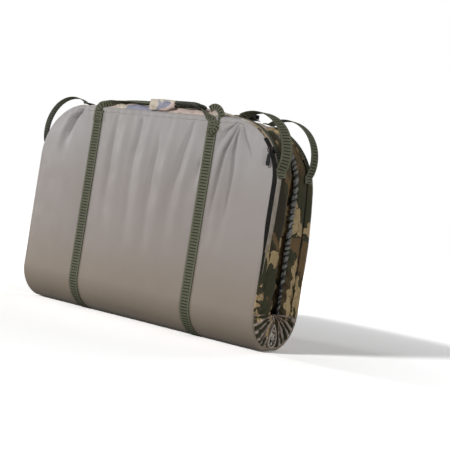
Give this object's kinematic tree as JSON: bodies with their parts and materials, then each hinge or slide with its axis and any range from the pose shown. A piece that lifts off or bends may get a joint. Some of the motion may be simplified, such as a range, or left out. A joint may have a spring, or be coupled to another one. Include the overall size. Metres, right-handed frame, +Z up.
{
  "type": "unhooking mat",
  "caption": "Folded padded fish unhooking mat: two walled trays on a rounded bottom fold, with straps, carry handles, corner loops, zip and buckle.",
  "frame": {"origin": "middle of the bottom of the fold, on the surface that the closed mat stands on", "axes": "+X along the fold to the right, -Y out of the front face, +Z up"},
  "size_m": [0.6692, 0.1751, 0.4648],
  "materials": {
    "nylon": "coated taupe nylon with a soft sheen",
    "camouflage": null,
    "webbing": "ribbed olive webbing",
    "foam": "soft foam board",
    "binding": "grey gathered elastic binding",
    "zip": "black zip tape with a moulded coil",
    "plastic": "black moulded acetal",
    "metal": "plated wire"
  },
  "bodies": {
    "spine": {"spine_cover": "nylon", "spine_foam": "foam", "spine_lining": "nylon", "spine_right_pleats": "camouflage", "spine_left_pleats": "camouflage", "spine_right_strap": "webbing", "spine_left_strap": "webbing"},
    "front_half": {"front_cover": "nylon", "front_foam": "foam", "front_lining": "nylon", "front_boxing": "nylon", "front_right_wall": "camouflage", "front_left_wall": "camouflage", "front_end_wall": "camouflage", "front_right_pleats": "camouflage", "front_left_pleats": "camouflage", "front_right_strap": "webbing", "front_left_strap": "webbing", "front_right_corner_tape": "webbing", "front_left_corner_tape": "webbing", "front_right_loop_low_end": "webbing", "front_right_loop_high_end": "webbing", "front_left_loop_low_end": "webbing", "front_left_loop_high_end": "webbing", "front_buckle_tab": "webbing", "zip_tape": "zip"},
    "rear_half": {"rear_cover": "nylon", "rear_foam": "foam", "rear_lining": "nylon", "rear_boxing": "nylon", "rear_right_wall": "camouflage", "rear_left_wall": "camouflage", "rear_end_wall": "camouflage", "rear_right_pleats": "camouflage", "rear_left_pleats": "camouflage", "rear_right_strap": "webbing", "rear_left_strap": "webbing", "rear_right_corner_tape": "webbing", "rear_left_corner_tape": "webbing", "rear_right_loop_low_end": "webbing", "rear_right_loop_high_end": "webbing", "rear_left_loop_low_end": "webbing", "rear_left_loop_high_end": "webbing", "rear_buckle_tab": "webbing", "rear_rim_binding": "binding", "buckle_socket": "plastic"},
    "front_handle": {"front_handle": "webbing", "front_grip_sleeve": "camouflage", "front_grip_cuff": "webbing"},
    "rear_handle": {"rear_handle": "webbing"},
    "front_right_loop": {"front_right_loop": "webbing"},
    "front_left_loop": {"front_left_loop": "webbing"},
    "rear_right_loop": {"rear_right_loop": "webbing"},
    "rear_left_loop": {"rear_left_loop": "webbing"},
    "zip_slider": {"zip_slider": "plastic", "zip_lug": "metal"},
    "zip_puller": {"zip_puller": "plastic", "zip_ring": "metal"},
    "buckle_plug": {"buckle_plug": "plastic"}
  },
  "joints": [
    {"name": "front_half_fold", "type": "hinge", "parent": "spine", "child": "front_half", "pos_m": [0, -0.05452, 0.01858], "axis": [1, 0, 0], "range_deg": [0, 90]},
    {"name": "rear_half_fold", "type": "hinge", "parent": "spine", "child": "rear_half", "pos_m": [0, 0.06055, 0.01858], "axis": [-1, 0, 0], "range_deg": [0, 90]},
    {"name": "front_handle_swing", "type": "hinge", "parent": "front_half", "child": "front_handle", "pos_m": [0, -0.0776, 0.4288], "axis": [1, 0, 0], "range_deg": [0, 160]},
    {"name": "rear_handle_swing", "type": "hinge", "parent": "rear_half", "child": "rear_handle", "pos_m": [0, 0.04705, 0.4288], "axis": [-1, 0, 0], "range_deg": [0, 145]},
    {"name": "front_right_loop_flex", "type": "hinge", "parent": "front_half", "child": "front_right_loop", "pos_m": [0.28597, -0.052, 0.41172], "axis": [-0.7603, 0, 0.6496], "range_deg": [-30, 30], "stiffness_Nm_per_rad": 0.03},
    {"name": "front_left_loop_flex", "type": "hinge", "parent": "front_half", "child": "front_left_loop", "pos_m": [-0.28597, -0.052, 0.41172], "axis": [0.7603, 0, 0.6496], "range_deg": [-30, 30], "stiffness_Nm_per_rad": 0.03},
    {"name": "rear_right_loop_flex", "type": "hinge", "parent": "rear_half", "child": "rear_right_loop", "pos_m": [0.28597, 0.03785, 0.41172], "axis": [-0.7603, 0, 0.6496], "range_deg": [-30, 30], "stiffness_Nm_per_rad": 0.03},
    {"name": "rear_left_loop_flex", "type": "hinge", "parent": "rear_half", "child": "rear_left_loop", "pos_m": [-0.28597, 0.03785, 0.41172], "axis": [0.7603, 0, 0.6496], "range_deg": [-30, 30], "stiffness_Nm_per_rad": 0.03},
    {"name": "zip_slider_travel", "type": "hinge", "parent": "front_half", "child": "zip_slider", "pos_m": [0.205, -0.0675, 0.319], "axis": [0, 1, 0], "range_deg": [-10, 30]},
    {"name": "zip_puller_swing", "type": "hinge", "parent": "zip_slider", "child": "zip_puller", "pos_m": [0.31024, -0.0815, 0.38476], "axis": [0, 1, 0], "range_deg": [-60, 60]},
    {"name": "buckle_plug_slide", "type": "slide", "parent": "front_half", "child": "buckle_plug", "axis": [0, -1, 0], "range_m": [0, 0.0125]}
  ],
  "couplings": [
    {"joint": "rear_half_fold", "follows": "front_half_fold", "ratio": 1}
  ]
}
